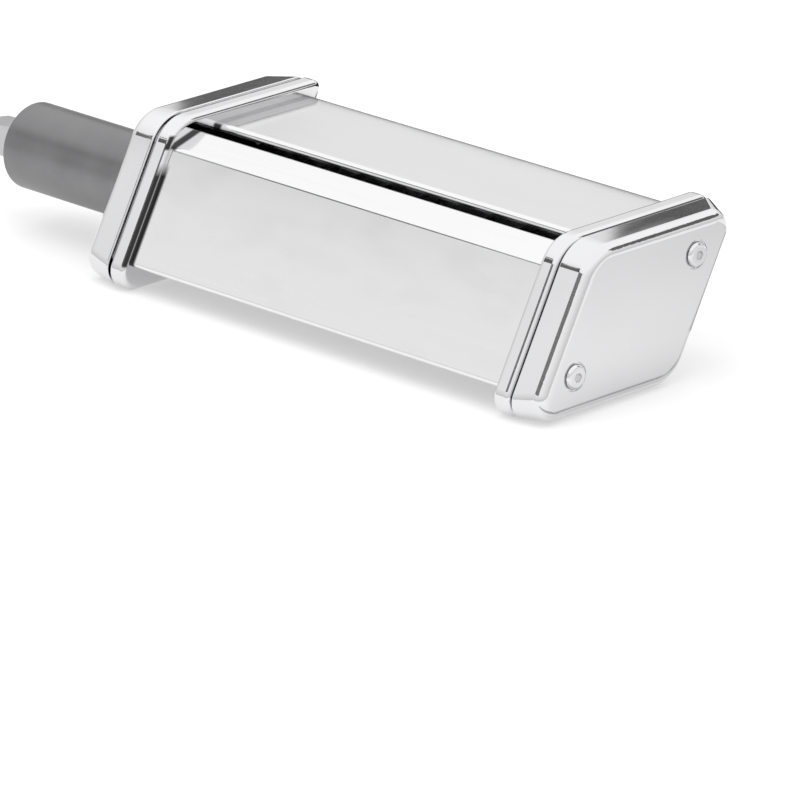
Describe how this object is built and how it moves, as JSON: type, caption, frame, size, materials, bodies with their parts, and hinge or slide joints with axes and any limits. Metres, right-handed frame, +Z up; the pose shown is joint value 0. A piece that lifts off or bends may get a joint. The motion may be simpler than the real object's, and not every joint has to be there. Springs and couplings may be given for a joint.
{
  "type": "pasta cutter attachment",
  "caption": "Leaning steel pasta cutter head: interleaved disc rollers with combs and gears between end caps, turned through a round spigot and a square shank by a mixer hub.",
  "frame": {"origin": "on the spigot's axis, which is the front roller's axis, at the shoulder where the spigot meets its collar", "axes": "+X along the rollers away from the mixer, +Z up, +Y towards the rear cover; the ribbons leave downwards"},
  "size_m": [0.2451, 0.0779, 0.046],
  "materials": {
    "polished_steel": "polished stainless sheet",
    "cap_chrome": "bright chrome over a drawn shell",
    "frame_chrome": "bright plated casting",
    "spigot_steel": "satin turned steel",
    "cast_alloy": "as cast",
    "cutter_steel": "ground and turned steel",
    "comb_steel": "stamped stainless",
    "rod_steel": "drawn bar",
    "shank_steel": "milled steel",
    "gear_steel": "oiled cut steel",
    "bush_bronze": "sintered bronze",
    "screw_steel": "plated screw"
  },
  "bodies": {
    "housing": {"front_cover": "polished_steel", "rear_cover": "polished_steel", "drive_end_cap": "cap_chrome", "outer_end_cap": "cap_chrome", "drive_end_frame": "frame_chrome", "outer_end_frame": "frame_chrome", "hub_spigot": "spigot_steel", "gear_plate": "cast_alloy", "front_comb": "comb_steel", "rear_comb": "comb_steel", "front_tie_rod": "rod_steel", "rear_tie_rod": "rod_steel", "front_drive_bush": "bush_bronze", "rear_drive_bush": "bush_bronze", "front_outer_bush": "bush_bronze", "rear_outer_bush": "bush_bronze", "rear_plate_bush": "bush_bronze", "spigot_root_bush": "bush_bronze", "spigot_nose_bush": "bush_bronze", "drive_cap_screws": "screw_steel", "outer_cap_screws": "screw_steel", "gear_plate_screws": "screw_steel"},
    "front_roller": {"front_cutter_roller": "cutter_steel", "front_gear": "gear_steel", "front_outer_clip": "gear_steel", "drive_shank": "shank_steel", "shank_pin": "shank_steel"},
    "rear_roller": {"rear_cutter_roller": "cutter_steel", "rear_gear": "gear_steel", "rear_outer_clip": "gear_steel"}
  },
  "joints": [
    {"name": "front_roller_spin", "type": "hinge", "parent": "housing", "child": "front_roller", "pos_m": [0, 0, 0], "axis": [1, 0, 0], "continuous": true},
    {"name": "rear_roller_spin", "type": "hinge", "parent": "housing", "child": "rear_roller", "pos_m": [0, 0.021, 0], "axis": [1, 0, 0], "continuous": true}
  ],
  "couplings": [
    {"joint": "rear_roller_spin", "follows": "front_roller_spin", "ratio": -1}
  ]
}
